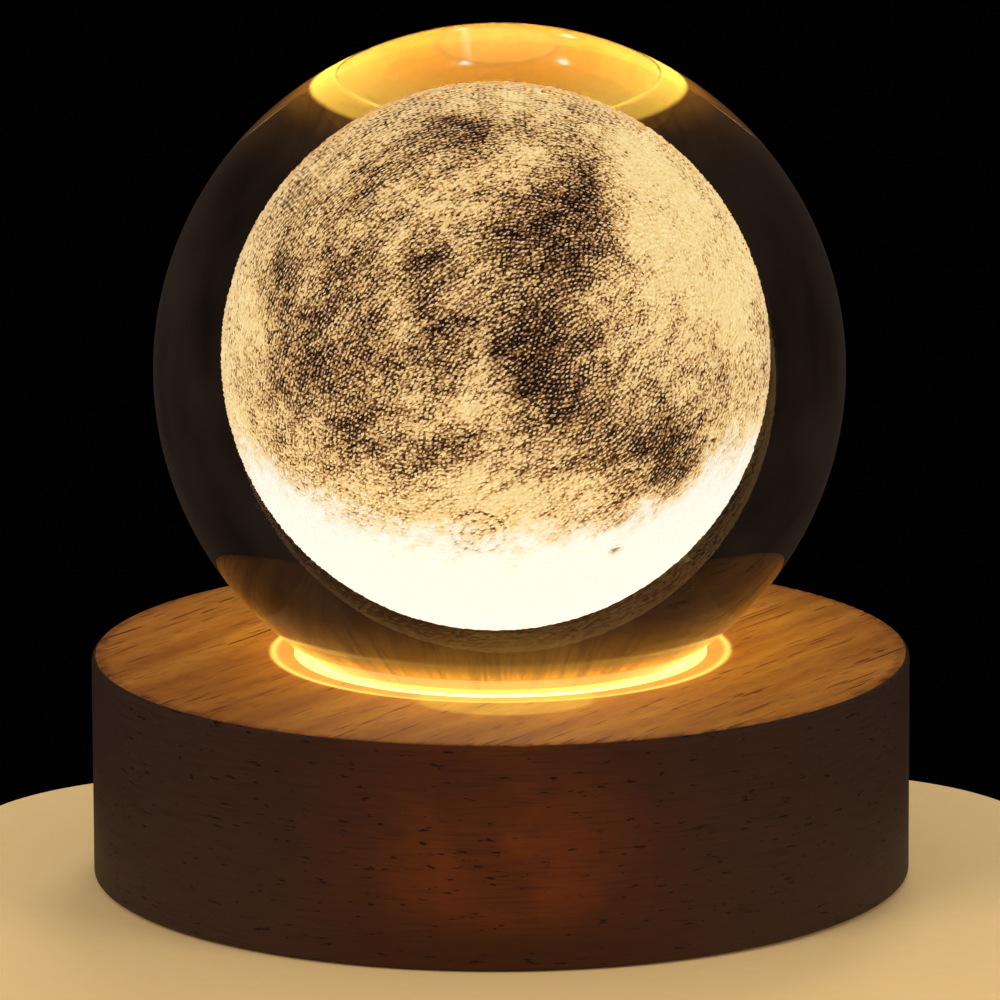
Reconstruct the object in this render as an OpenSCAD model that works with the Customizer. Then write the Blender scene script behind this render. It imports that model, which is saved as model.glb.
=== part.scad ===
// Moon lamp: a solid crystal ball with a moon engraved inside it, seated in a turned wooden base.
// The base hides a warm light unit, a control board with its power socket, and a push button.
// Millimetres. The origin is on the table, under the centre of the base. The back is +Y, up is +Z.

/* [Crystal ball] */
// Diameter of the crystal ball
ball_d = 80; // [76:1:84]
// Depth of the ball's lowest point below the top of the wood
ball_sink = 6.75; // [6:0.05:7.5]
// Diameter of the moon engraved inside the ball
moon_d = 42; // [36:1:46]
// Thickness of the engraved shell
moon_wall = 0.8; // [0.7:0.1:1.4]
// Height of the moon's centre above the ball's centre
moon_raise = 1.1; // [0:0.1:2]
// Distance of the moon's centre to the left of the ball's centre
moon_shift = 0.3; // [0:0.1:1]
// Number of craters on the moon
crater_count = 40; // [12:1:60]
// Depth of the deepest craters
crater_depth = 0.3; // [0.1:0.05:0.4]
// Depth of the dark seas
sea_depth = 0.18; // [0.1:0.02:0.3]

/* [Wooden base] */
// Diameter of the wooden base
base_d = 95; // [93:1:104]
// Height of the wood alone
wood_h = 26; // [25:0.5:30]
// Rounding of the top edge
top_round = 0.8; // [0.4:0.1:2]
// Rounding of the bottom edge
bottom_round = 0.5; // [0.2:0.1:1.2]
// Width of the wooden rim outside the bottom cover
rim_w = 5; // [4:0.5:5.5]
// Free space between the light unit and the wall of the pocket
pocket_gap = 4; // [3.5:0.1:4.5]

/* [Seat ring] */
// Width of the ring's lip that shows round the ball
lip_w = 1.8; // [1.2:0.1:2.4]
// Diameter of the hole that lets the light into the ball
light_hole_d = 28; // [22:1:32]
// Reach of the ring's flange beyond its lip
flange_w = 3.4; // [2.8:0.1:3.8]
// Thickness of the ring's flange
flange_t = 2.6; // [2:0.1:3.4]

/* [Light unit] */
// Thickness of the diffuser
diffuser_t = 1.5; // [1:0.1:2]
// Space between the ball and the diffuser
diffuser_gap = 0.5; // [0.3:0.1:1]
// Width of the edge that holds the diffuser
diffuser_hold = 1.4; // [1:0.1:2]
// Height of the reflector cup
cup_h = 10.5; // [9:0.5:11]
// Thickness of the cup's walls
cup_wall = 1.4; // [1:0.1:2]
// Diameter of the cup's floor inside
cup_floor_d = 42; // [38:1:44]
// Thickness of both circuit boards
board_t = 1.6; // [1:0.1:2]
// Number of light emitting diodes
led_count = 6; // [4:1:8]
// Side of one diode's housing
led_w = 5; // [3:0.5:5]
// Height of one diode's housing
led_h = 1.6; // [1.2:0.1:2]
// Diameter of the ring of diodes
led_ring_d = 24; // [20:1:26]
// Thickness of a wire with its insulation
wire_d = 1.5; // [1:0.1:1.8]

/* [Power socket] */
// Height of the socket's centre above the table
socket_z = 7.5; // [7:0.1:8.5]
// Length of the socket
socket_l = 10.5; // [9.5:0.1:10.8]
// Width of the socket's metal shell
socket_w = 8.94; // [8.5:0.01:9.4]
// Height of the socket's metal shell
socket_h = 3.26; // [3:0.01:3.6]
// Thickness of the socket's sheet metal
socket_wall = 0.3; // [0.2:0.05:0.4]

/* [Push button] */
// Height of the button's centre above the socket's centre
button_pitch = 7.7; // [7.2:0.1:8.5]
// Diameter of the button's round cap
button_d = 6.6; // [5:0.1:7]
// Height of the cap above the wood
button_proud = 1.4; // [1.3:0.1:2]
// Travel of the button
button_travel = 1.2; // [0.6:0.1:1.2]
// Side of the switch's square housing
switch_w = 6; // [5:0.1:6.2]
// Depth of the switch's housing
switch_h = 3.6; // [3.2:0.1:4]

/* [Bottom cover] */
// Thickness of the bottom cover
cover_t = 2; // [1.6:0.1:2.4]
// Diameter of a foot pad
foot_d = 12; // [8:0.5:14]
// Thickness of a foot pad
foot_t = 1; // [0.8:0.1:1.4]
// Height of the foot pads below the wood
foot_proud = 0.3; // [0.2:0.05:0.6]
// Number of foot pads, and of cover screws
foot_count = 4; // [3:1:6]

/* [Screws] */
// Thickness of the wood screws
screw_d = 2.6; // [2:0.1:2.8]
// Length of the wood screws
screw_l = 6; // [5:0.5:7]
// Thickness of the small board screws
small_screw_d = 2; // [1.6:0.1:2.2]
// Length of the small board screws
small_screw_l = 4.4; // [4:0.1:5]
// Number of screws that hold the reflector cup
cup_screw_count = 3; // [3:1:4]

/* [Fits] */
// Clearance round a fixed piece
part_gap = 0.2; // [0.1:0.05:0.3]
// Clearance under the ball, in its seat
ball_gap = 0.2; // [0.1:0.05:0.3]
// Clearance round the seat ring and round the foot pads
seat_gap = 0.1; // [0.05:0.05:0.2]
// Clearance round a screw
screw_gap = 0.05; // [0.02:0.01:0.1]

/* [Hidden] */

$fn = 96;
e = 0.5; // how far a cutting tool runs past the face that it opens

// Small margins and lands
diffuser_ledge = 0.3;  // the cup's flange under the diffuser's edge
diffuser_cover = 1.6;  // how far the ring's flange reaches beyond the diffuser
cup_screw_land = 0.7;  // wood between the flange's recess and a cup screw
cup_flange_edge = 1.1; // edge of the cup's flange outside its screws
cover_screw_edge = 0.4; // edge of the bottom cover outside its screw heads
led_board_gap = 0.4;   // free space round the light unit's board
led_screw_edge = 0.9;  // edge of that board outside its screw heads
boss_wall = 1.5;       // wall of a screw boss
boss_floor = 0.4;      // what closes a boss under its screw
screw_end_gap = 0.2;   // free space under the end of a screw in a boss

// Where the rounds of screws and diodes start
cup_screw_turn = 30;
cover_screw_turn = 45;
led_turn = 52.5;

// Levels, from the table up
wood_z0 = foot_proud;
wood_z1 = wood_z0 + wood_h;
cover_z1 = wood_z0 + cover_t;
ball_r = ball_d / 2;
ball_z = wood_z1 + ball_r - ball_sink;
ring_z0 = ball_z - ball_r - diffuser_gap;
cup_z0 = ring_z0 - cup_h;
led_board_z0 = cup_z0 + cup_wall;
led_z0 = led_board_z0 + board_t;
diffuser_z0 = ring_z0 - diffuser_t;
cup_flange_t = diffuser_t + diffuser_ledge;

// Radii, from the ball's contact outwards
contact_r = sqrt(ball_r * ball_r - (ball_r - ball_sink) * (ball_r - ball_sink));
lip_r = contact_r + lip_w;
flange_r = lip_r + flange_w;
diffuser_r = flange_r - diffuser_cover;
cup_floor_r = cup_floor_d / 2;
cup_screw_r = flange_r + part_gap + cup_screw_land + screw_d / 2;
cup_flange_r = cup_screw_r + screw_d / 2 + cup_flange_edge;
pocket_r = cup_flange_r + pocket_gap;
base_r = base_d / 2;
rebate_r = base_r - rim_w;
cover_screw_r = rebate_r - screw_d - cover_screw_edge;
foot_place_r = cover_screw_r - foot_d / 2;
led_board_r = cup_floor_r - led_board_gap;
led_screw_r = led_board_r - small_screw_d - led_screw_edge;

// Screw heads
head_share = 1.8; // head diameter as a multiple of the shank's
pan_share = 0.6;  // pan head height as a multiple of the shank's diameter
cross_share = 0.3; // width of a head's cross and of the point, as a multiple of the shank's diameter
cross_reach = 0.55; // how far the cross reaches across the head
point_share = 0.5; // length of the point as a multiple of the shank's diameter
overlap = 0.01;    // how far the solids of one piece run into each other

// The rear: the board stands upright and presses on a flat inside the wood
socket_inset = 0.3;
board_y1 = base_r - socket_inset - socket_l;
board_y0 = board_y1 - board_t;
board_w = 22;
board_below = 2.6;     // board under the socket
board_above = 0.4;     // board over the switch
board_screw_edge = 0.6; // edge of the board outside its screw heads
board_room = 3;        // free depth in front of the board, for its chips and its screws' heads
board_z0 = socket_z - socket_h / 2 - board_below;
button_z = socket_z + button_pitch;
board_z1 = button_z + switch_w / 2 + board_above;
board_screw_x = board_w / 2 - small_screw_d - board_screw_edge;
board_screw_z = (socket_z + button_z) / 2;
tongue_w = 6.7;
tongue_t = 0.7;
tongue_inset = 1;
socket_back = 1;       // closed back of the socket's shell
contact_count = 6;
contact_pitch = 1;
contact_l = 4;
contact_w = 0.3;
contact_t = 0.1;
contact_inset = 0.4;   // from the tongue's tip to its contacts

// The button, along +Y
button_r = button_d / 2;
button_bore_r = button_r + part_gap;
button_flange_w = 1;
button_flange_r = button_r + button_flange_w;
button_flange_t = 1;
dome_h = 0.5; // rise of the cap's domed face
plunger_r = 1.6;
plunger_sink = 1; // plunger inside the housing when it is not pressed
switch_y1 = board_y1 + switch_h;
press_room = 0.4; // what is left between the cap and the housing when pressed
cap_y0 = switch_y1 + button_travel + press_room;
cap_y1 = base_r + button_proud;
shoulder_y = cap_y0 + button_flange_t + part_gap;
well_r = max(button_flange_r, switch_w / 2 * sqrt(2)) + part_gap;

// Wires, from the light unit's board to the back of the control board
wire_r = wire_d / 2;
wire_x = 1.6;
wire_y = 11;
wire_joint_h = 1.5; // from the control board's lower edge to the wires' middle
wire_z = board_z0 + wire_joint_h;
wire_bend_r = 2.4;
wire_room = 0.6; // free space round the wires in the cup's floor
wire_hole_w = 2 * (wire_x + wire_r + wire_room);
wire_hole_h = wire_d + 2 * wire_room;

// The parts on the two boards
led_well_share = 0.7;   // bottom of a diode's well, as a share of the housing's side
led_mouth_share = 0.84; // mouth of that well
phosphor_sink = 0.1;    // the phosphor's face below the well's mouth
resistor_count = 3;
resistor_pitch = 3;
resistor = [3.2, 1.6, 0.6];
chip = [5, 1.2, 4];
capacitor = [1.6, 0.6, 0.8];
capacitor_x = 5;
capacitor_rise = 3.2; // above the middle of the chip

// The moon. Its seas and its great crater: longitude from the front, latitude, and the share
// of the moon's radius that the rim's radius takes
moon_r = moon_d / 2;
seas = [
    [22, 46, 0.25], [-52, 80, 0.17], [13, 10, 0.24], [-16, 14.5, 0.12], [-23, 37, 0.09],
    [-50, 10, 0.28], [45, -16, 0.2], [-42, -13, 0.1]
];
great_crater = [-5, -37, 0.14];
golden_turn = 137.508; // turn between one crater and the next
crater_r_min = 0.8;
crater_r_max = 2.4;
crater_hollow_min = 0.03;
rim_turn = 73.3;   // turn between the widths of one crater and the next
depth_turn = 51.7; // the same for their depths

// ---------------------------------------------------------------- general shapes

// Rounds that are spread evenly on a circle
module ring_of(count, radius, start = 0)
    for (i = [0 : count - 1])
        rotate([0, 0, start + i * 360 / count])
            translate([radius, 0, 0])
                children();

// A cylinder that points to the back
module along_y(r, y0, y1)
    translate([0, y0, 0])
        rotate([-90, 0, 0])
            cylinder(r = r, h = y1 - y0);

// A flat oblong with round ends, width by height, round its centre
module slot_2d(w, h) {
    square([w - h, h], center = true);
    for (side = [-1, 1])
        translate([side * (w - h) / 2, 0])
            circle(d = h);
}

// A slot-shaped bar that points to the back
module slot_bar(w, h, y0, y1)
    translate([0, y0, 0])
        rotate([-90, 0, 0])
            linear_extrude(y1 - y0)
                slot_2d(w, h);

// A pan head screw: its head's face is at z = 0, and the shank points down
module pan_screw(d, l) {
    cross_w = d * cross_share;
    head_r = d * head_share / 2;
    head_h = d * pan_share;
    rim_h = head_h * 0.55;
    point_h = d * point_share;
    difference() {
        union() {
            cylinder(r = head_r, h = rim_h);
            translate([0, 0, rim_h])
                cylinder(r1 = head_r, r2 = head_r * 0.7, h = head_h - rim_h);
        }
        for (turn = [0, 90])
            rotate([0, 0, turn])
                translate([-head_r * cross_reach, -cross_w / 2, head_h / 2])
                    cube([2 * head_r * cross_reach, cross_w, head_h]);
    }
    translate([0, 0, -l + point_h])
        cylinder(d = d, h = l - point_h + overlap);
    translate([0, 0, -l])
        cylinder(d1 = cross_w, d2 = d, h = point_h);
}

// A countersunk screw: its head's top is at z = 0, and the shank points down
module flat_screw(d, l) {
    cross_w = d * cross_share;
    cross_h = d * 0.24;
    head_r = d * head_share / 2;
    sink = head_r - d / 2;
    point_h = d * point_share;
    difference() {
        union() {
            translate([0, 0, -sink])
                cylinder(r1 = d / 2, r2 = head_r, h = sink);
            translate([0, 0, -l + point_h])
                cylinder(d = d, h = l - point_h - sink + overlap);
            translate([0, 0, -l])
                cylinder(d1 = cross_w, d2 = d, h = point_h);
        }
        for (turn = [0, 90])
            rotate([0, 0, turn])
                translate([-head_r * cross_reach, -cross_w / 2, -cross_h])
                    cube([2 * head_r * cross_reach, cross_w, cross_h + e]);
    }
}

// ---------------------------------------------------------------- wooden base

// Half section of the turned outside, with a round on each edge
module wood_profile() {
    difference() {
        translate([0, wood_z0])
            square([base_r, wood_h]);
        translate([base_r - top_round, wood_z1 - top_round])
            square(top_round + e);
        translate([base_r - bottom_round, wood_z0 - e])
            square([bottom_round + e, bottom_round + e]);
    }
    translate([base_r - top_round, wood_z1 - top_round])
        circle(r = top_round);
    translate([base_r - bottom_round, wood_z0 + bottom_round])
        circle(r = bottom_round);
}

// Everything that is bored and milled out of the wood from below and from above
module wood_cuts() {
    translate([0, 0, wood_z0 - e])
        cylinder(r = rebate_r, h = cover_t + e);
    translate([0, 0, wood_z0 - e])
        cylinder(r = pocket_r, h = ring_z0 - wood_z0 + e);
    translate([0, 0, ring_z0 - e])
        cylinder(r = flange_r + part_gap, h = flange_t + e);
    translate([0, 0, ring_z0])
        cylinder(r = lip_r + seat_gap, h = wood_h);
    ring_of(cup_screw_count, cup_screw_r, cup_screw_turn)
        translate([0, 0, ring_z0 - e])
            cylinder(r = screw_d / 2 + screw_gap, h = screw_l - cup_flange_t + 2 * e);
    ring_of(foot_count, cover_screw_r, cover_screw_turn)
        translate([0, 0, cover_z1 - e])
            cylinder(r = screw_d / 2 + screw_gap, h = screw_l - cover_t + 2 * e);
}

// The rear of the wood: a flat for the board, a slot for the socket, a bore for the button
module rear_cuts() {
    cut_w = board_w + 2 * part_gap;
    translate([-cut_w / 2, pocket_r / 2, wood_z0])
        cube([cut_w, board_y1 - pocket_r / 2, board_z1 + part_gap - wood_z0]);
    translate([0, 0, socket_z])
        slot_bar(socket_w + 2 * part_gap, socket_h + 2 * part_gap, board_y0, base_r + e);
    translate([0, 0, button_z]) {
        along_y(button_bore_r, board_y0, base_r + e);
        along_y(well_r, board_y0, shoulder_y);
    }
    for (side = [-1, 1])
        translate([side * board_screw_x, 0, board_screw_z])
            along_y(small_screw_d / 2 + screw_gap, board_y0, board_y0 + small_screw_l + e);
}

module wood_base()
    color([0.62, 0.42, 0.22])
        difference() {
            rotate_extrude()
                wood_profile();
            wood_cuts();
            rear_cuts();
        }

// ---------------------------------------------------------------- seat ring and light unit

// A clear ring: its hollow is the ball's own curve, and its lip is level with the wood
module seat_ring()
    color([1, 0.93, 0.75])
        rotate_extrude()
            difference() {
                translate([light_hole_d / 2, ring_z0])
                    union() {
                        square([lip_r - light_hole_d / 2, wood_z1 - ring_z0]);
                        square([flange_r - light_hole_d / 2, flange_t]);
                    }
                translate([0, ball_z])
                    circle(r = ball_r + ball_gap, $fn = 360);
            }

module diffuser_plate()
    color([0.97, 0.96, 0.92])
        translate([0, 0, diffuser_z0])
            cylinder(r = diffuser_r, h = diffuser_t);

// Half section of the white cup: a flange, a step for the diffuser, a sloping wall and a floor
module cup_profile() {
    window_r = diffuser_r - diffuser_hold;
    flange_z0 = ring_z0 - cup_flange_t;
    polygon([
        [0, cup_z0],
        [cup_floor_r + cup_wall, cup_z0],
        [window_r + cup_wall, flange_z0],
        [cup_flange_r, flange_z0],
        [cup_flange_r, ring_z0],
        [diffuser_r + part_gap, ring_z0],
        [diffuser_r + part_gap, diffuser_z0],
        [window_r, diffuser_z0],
        [cup_floor_r, led_board_z0],
        [0, led_board_z0]
    ]);
}

// The cup has two bosses under its floor, and its flange is flat in front of the control board
module reflector_cup() {
    hole_z0 = led_z0 - small_screw_l - screw_end_gap;
    boss_z0 = hole_z0 - boss_floor;
    color([0.95, 0.95, 0.93])
        difference() {
            union() {
                rotate_extrude()
                    cup_profile();
                ring_of(2, led_screw_r)
                    translate([0, 0, boss_z0])
                        cylinder(r = small_screw_d / 2 + boss_wall, h = cup_z0 - boss_z0 + overlap);
            }
            ring_of(2, led_screw_r)
                translate([0, 0, hole_z0])
                    cylinder(r = small_screw_d / 2 + screw_gap, h = small_screw_l + e);
            ring_of(cup_screw_count, cup_screw_r, cup_screw_turn)
                translate([0, 0, cup_z0])
                    cylinder(r = screw_d / 2 + screw_gap, h = cup_h + e);
            translate([0, wire_y, cup_z0 - e])
                linear_extrude(cup_wall + 2 * e)
                    slot_2d(wire_hole_w, wire_hole_h);
            translate([-cup_flange_r, board_y0 - board_room, cup_z0 - e])
                cube([2 * cup_flange_r, cup_flange_r, cup_h + 2 * e]);
        }
}

// The cup's screws go up into the wood, with their heads under the flange
module cup_screws()
    color([0.75, 0.75, 0.78])
        ring_of(cup_screw_count, cup_screw_r, cup_screw_turn)
            translate([0, 0, ring_z0 - cup_flange_t])
                mirror([0, 0, 1])
                    pan_screw(screw_d, screw_l);

module led_board()
    color([0.93, 0.93, 0.9])
        difference() {
            translate([0, 0, led_board_z0])
                cylinder(r = led_board_r, h = board_t);
            ring_of(2, led_screw_r)
                translate([0, 0, led_board_z0 - e])
                    cylinder(r = small_screw_d / 2 + screw_gap, h = board_t + 2 * e);
        }

// Each housing is a square block with a round well for the phosphor
module led_housings()
    color([0.96, 0.95, 0.9])
        ring_of(led_count, led_ring_d / 2, led_turn)
            difference() {
                translate([-led_w / 2, -led_w / 2, led_z0])
                    cube([led_w, led_w, led_h]);
                translate([0, 0, led_z0 + led_h / 2])
                    cylinder(d1 = led_w * led_well_share, d2 = led_w * led_mouth_share,
                             h = led_h / 2 + overlap);
            }

module led_phosphors() {
    phosphor_h = led_h / 2 - phosphor_sink;
    slope = (led_mouth_share - led_well_share) / (led_h / 2 + overlap);
    color([1, 0.85, 0.3])
        ring_of(led_count, led_ring_d / 2, led_turn)
            translate([0, 0, led_z0 + led_h / 2])
                cylinder(d1 = led_w * led_well_share, d2 = led_w * (led_well_share + slope * phosphor_h),
                         h = phosphor_h);
}

module led_resistors()
    color([0.12, 0.12, 0.12])
        for (i = [0 : resistor_count - 1])
            translate([-resistor[0] / 2,
                       (i - (resistor_count - 1) / 2) * resistor_pitch - resistor[1] / 2,
                       led_z0])
                cube(resistor);

module led_board_screws()
    color([0.75, 0.75, 0.78])
        ring_of(2, led_screw_r)
            translate([0, 0, led_z0])
                pan_screw(small_screw_d, small_screw_l);

// One wire: down through the cup's floor, round a bend, and back to the control board
module wire(x)
    translate([x, 0, 0]) {
        translate([0, wire_y, wire_z + wire_bend_r])
            cylinder(r = wire_r, h = led_board_z0 - wire_z - wire_bend_r);
        translate([0, wire_y + wire_bend_r, wire_z + wire_bend_r])
            rotate([0, 90, 0])
                rotate_extrude(angle = 90, start = -90)
                    translate([wire_bend_r, 0])
                        circle(r = wire_r);
        translate([0, 0, wire_z])
            along_y(wire_r, wire_y + wire_bend_r, board_y0);
    }

module wire_red()
    color([0.75, 0.1, 0.08])
        wire(wire_x);

module wire_black()
    color([0.06, 0.06, 0.06])
        wire(-wire_x);

// ---------------------------------------------------------------- control board, socket and button

module control_board()
    color([0.1, 0.35, 0.16])
        difference() {
            translate([-board_w / 2, board_y0, board_z0])
                cube([board_w, board_t, board_z1 - board_z0]);
            for (side = [-1, 1])
                translate([side * board_screw_x, 0, board_screw_z])
                    along_y(small_screw_d / 2 + screw_gap, board_y0 - e, board_y1 + e);
        }

module control_board_screws()
    color([0.75, 0.75, 0.78])
        for (side = [-1, 1])
            translate([side * board_screw_x, board_y0, board_screw_z])
                rotate([90, 0, 0])
                    pan_screw(small_screw_d, small_screw_l);

// The chips on the back of the control board: the driver, and two capacitors
module control_chips()
    color([0.1, 0.1, 0.11]) {
        translate([-chip[0] / 2, board_y0 - chip[1], board_screw_z - chip[2] / 2])
            cube(chip);
        for (side = [-1, 1])
            translate([side * capacitor_x - capacitor[0] / 2,
                       board_y0 - capacitor[1],
                       board_screw_z + capacitor_rise])
                cube(capacitor);
    }

module socket_shell()
    color([0.78, 0.79, 0.8])
        translate([0, 0, socket_z])
            difference() {
                slot_bar(socket_w, socket_h, board_y1, board_y1 + socket_l);
                slot_bar(socket_w - 2 * socket_wall, socket_h - 2 * socket_wall,
                         board_y1 + socket_back, board_y1 + socket_l + e);
            }

module socket_tongue()
    color([0.08, 0.08, 0.09])
        translate([-tongue_w / 2, board_y1 + socket_back, socket_z - tongue_t / 2])
            cube([tongue_w, socket_l - socket_back - tongue_inset, tongue_t]);

// Gold contact strips on both faces of the tongue
module socket_contacts()
    color([0.85, 0.65, 0.25])
        for (face = [-1, 1], i = [0 : contact_count - 1])
            translate([(i - (contact_count - 1) / 2) * contact_pitch - contact_w / 2,
                       board_y1 + socket_l - tongue_inset - contact_inset - contact_l,
                       socket_z + face * (tongue_t + contact_t) / 2 - contact_t / 2])
                cube([contact_w, contact_l, contact_t]);

// A square housing with a round hole in which the plunger travels
module switch_housing() {
    hole_y0 = switch_y1 - plunger_sink - button_travel - press_room;
    color([0.07, 0.07, 0.08])
        translate([0, 0, button_z])
            difference() {
                translate([-switch_w / 2, board_y1, -switch_w / 2])
                    cube([switch_w, switch_h, switch_w]);
                along_y(plunger_r + part_gap, hole_y0, switch_y1 + e);
            }
}

module switch_plunger()
    color([0.85, 0.85, 0.83])
        translate([0, 0, button_z])
            along_y(plunger_r, switch_y1 - plunger_sink, cap_y0);

// Round cap with a retaining flange and a softly domed face
module button_cap() {
    dome_r = (button_r * button_r + dome_h * dome_h) / (2 * dome_h);
    color([0.09, 0.08, 0.08])
        translate([0, 0, button_z]) {
            along_y(button_flange_r, cap_y0, cap_y0 + button_flange_t);
            intersection() {
                along_y(button_r, cap_y0, cap_y1);
                translate([0, cap_y1 - dome_r, 0])
                    sphere(r = dome_r, $fn = 200);
            }
        }
}

// ---------------------------------------------------------------- bottom cover and feet

module bottom_cover() {
    head_r = screw_d * head_share / 2;
    sink = head_r - screw_d / 2;
    color([0.1, 0.1, 0.1])
        difference() {
            translate([0, 0, wood_z0])
                cylinder(r = rebate_r - part_gap, h = cover_t);
            ring_of(foot_count, cover_screw_r, cover_screw_turn) {
                translate([0, 0, wood_z0 - e])
                    cylinder(r = screw_d / 2 + screw_gap, h = cover_t + 2 * e);
                translate([0, 0, wood_z0 - overlap])
                    cylinder(r1 = head_r + screw_gap, r2 = screw_d / 2 + screw_gap, h = sink);
            }
            ring_of(foot_count, foot_place_r)
                translate([0, 0, wood_z0 - e])
                    cylinder(r = foot_d / 2 + seat_gap, h = foot_t - foot_proud + e);
        }
}

module cover_screws()
    color([0.2, 0.2, 0.21])
        ring_of(foot_count, cover_screw_r, cover_screw_turn)
            translate([0, 0, wood_z0])
                mirror([0, 0, 1])
                    flat_screw(screw_d, screw_l);

module foot_pads()
    color([0.15, 0.15, 0.15])
        ring_of(foot_count, foot_place_r)
            cylinder(d = foot_d, h = foot_t);

// ---------------------------------------------------------------- ball and moon

module crystal_ball()
    color([0.95, 0.97, 1, 0.35])
        translate([0, 0, ball_z])
            sphere(r = ball_r, $fn = 180);

// Turns a child that points along +X to a longitude from the front and a latitude
module on_moon(longitude, latitude)
    rotate([0, 0, longitude - 90])
        rotate([0, -latitude, 0])
            children();

// Cuts a round sea into the moon, along +X: its floor is level, the given depth under the surface
module sea(rim, depth)
    rotate([0, 90, 0])
        rotate_extrude()
            difference() {
                translate([0, moon_r - rim])
                    square([rim, rim + e]);
                circle(r = moon_r - depth, $fn = 360);
            }

// Cuts a hollow crater into the moon, along +X: the hollow's own sphere passes through the rim
// and through the crater's deepest point
module crater(rim, depth) {
    rim_x = sqrt(moon_r * moon_r - rim * rim);
    floor_x = moon_r - depth;
    hollow = max(rim_x - floor_x, crater_hollow_min);
    floor_r = (rim * rim + hollow * hollow) / (2 * hollow);
    translate([rim_x - hollow + floor_r, 0, 0])
        sphere(r = floor_r, $fn = 72);
}

// The engraved moon: a thin shell with shallow seas, one great crater with a step in it, and
// small craters spread on a golden spiral from pole to pole
module moon_engraving()
    color([0.98, 0.9, 0.7])
        translate([-moon_shift, 0, ball_z + moon_raise])
            difference() {
                sphere(r = moon_r, $fn = 120);
                sphere(r = moon_r - moon_wall, $fn = 120);
                for (place = seas)
                    on_moon(place[0], place[1])
                        sea(place[2] * moon_r, sea_depth);
                for (step = [1, 2])
                    on_moon(great_crater[0], great_crater[1])
                        crater(great_crater[2] * moon_r / step, crater_depth * (0.8 + step * 0.2));
                for (i = [0 : crater_count - 1]) {
                    latitude = asin(1 - 2 * (i + 0.5) / crater_count);
                    rim = crater_r_min + (crater_r_max - crater_r_min) * pow(sin(i * rim_turn), 2);
                    depth = crater_depth * (0.6 + 0.4 * abs(cos(i * depth_turn)));
                    on_moon(i * golden_turn, latitude)
                        crater(rim, depth);
                }
            }

wood_base();
seat_ring();
diffuser_plate();
reflector_cup();
cup_screws();
led_board();
led_housings();
led_phosphors();
led_resistors();
led_board_screws();
wire_red();
wire_black();
control_board();
control_board_screws();
control_chips();
socket_shell();
socket_tongue();
socket_contacts();
switch_housing();
switch_plunger();
button_cap();
bottom_cover();
cover_screws();
foot_pads();
crystal_ball();
moon_engraving();
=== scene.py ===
import math

import bpy
import numpy as np
from mathutils import Matrix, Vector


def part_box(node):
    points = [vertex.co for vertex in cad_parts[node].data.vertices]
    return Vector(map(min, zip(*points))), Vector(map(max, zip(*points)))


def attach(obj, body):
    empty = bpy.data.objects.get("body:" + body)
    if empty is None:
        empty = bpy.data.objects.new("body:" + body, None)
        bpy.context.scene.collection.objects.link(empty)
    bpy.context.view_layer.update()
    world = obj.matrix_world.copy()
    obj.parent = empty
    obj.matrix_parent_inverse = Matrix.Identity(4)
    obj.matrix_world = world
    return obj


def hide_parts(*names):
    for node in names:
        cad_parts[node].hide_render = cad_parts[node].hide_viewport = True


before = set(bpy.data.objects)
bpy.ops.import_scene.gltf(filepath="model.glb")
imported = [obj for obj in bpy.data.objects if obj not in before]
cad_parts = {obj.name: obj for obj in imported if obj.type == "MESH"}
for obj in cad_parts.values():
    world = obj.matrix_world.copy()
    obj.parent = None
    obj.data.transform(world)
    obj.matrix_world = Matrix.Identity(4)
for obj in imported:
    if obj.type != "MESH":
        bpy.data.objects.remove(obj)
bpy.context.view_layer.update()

# ---------------------------------------------------------------- where the photograph was taken from
# A long lens, 1.2 m from the lamp and 12.3 degrees above the table, aimed at a point just over
# the wooden base. It is turned by a fifth of a degree about its own axis.
aim = np.array([0.0, 0.0, 0.04406])
distance, raised, rolled = 1.2, math.radians(12.32), math.radians(0.22)
lens = bpy.data.cameras.new("long_lens")
lens.sensor_width = 36.0
lens.lens = 372.9
lens.clip_start, lens.clip_end = 0.1, 20.0
viewer = bpy.data.objects.new("viewer", lens)
bpy.context.scene.collection.objects.link(viewer)
viewer.matrix_world = (
    Matrix.Translation(aim + distance * np.array([0.0, -math.cos(raised), math.sin(raised)]))
    @ Matrix.Rotation(math.pi / 2 - raised, 4, "X")
    @ Matrix.Rotation(-rolled, 4, "Z")
)
bpy.context.scene.camera = viewer

# ---------------------------------------------------------------- turned wooden base
# One block of close-grained hardwood, turned on a lathe. The top is sanded and oiled. The side is
# dark brown, which is painted shade, and redder at the front and the back with painted warm light.
# The ring's light spills over the wood next to the ball.


class Level:
    """A number or colour that varies over a surface. Its operators add Math nodes."""

    def __init__(self, nodes, socket):
        self.nodes, self.socket = nodes, socket

    def __add__(self, other):
        return self.nodes.maths("ADD", self, other)

    def __radd__(self, other):
        return self.nodes.maths("ADD", other, self)

    def __sub__(self, other):
        return self.nodes.maths("SUBTRACT", self, other)

    def __rsub__(self, other):
        return self.nodes.maths("SUBTRACT", other, self)

    def __mul__(self, other):
        return self.nodes.maths("MULTIPLY", self, other)

    def __rmul__(self, other):
        return self.nodes.maths("MULTIPLY", other, self)

    def __truediv__(self, other):
        return self.nodes.maths("DIVIDE", self, other)

    def __pow__(self, other):
        return self.nodes.maths("POWER", self, other)

    def __rpow__(self, other):
        return self.nodes.maths("POWER", other, self)


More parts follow.
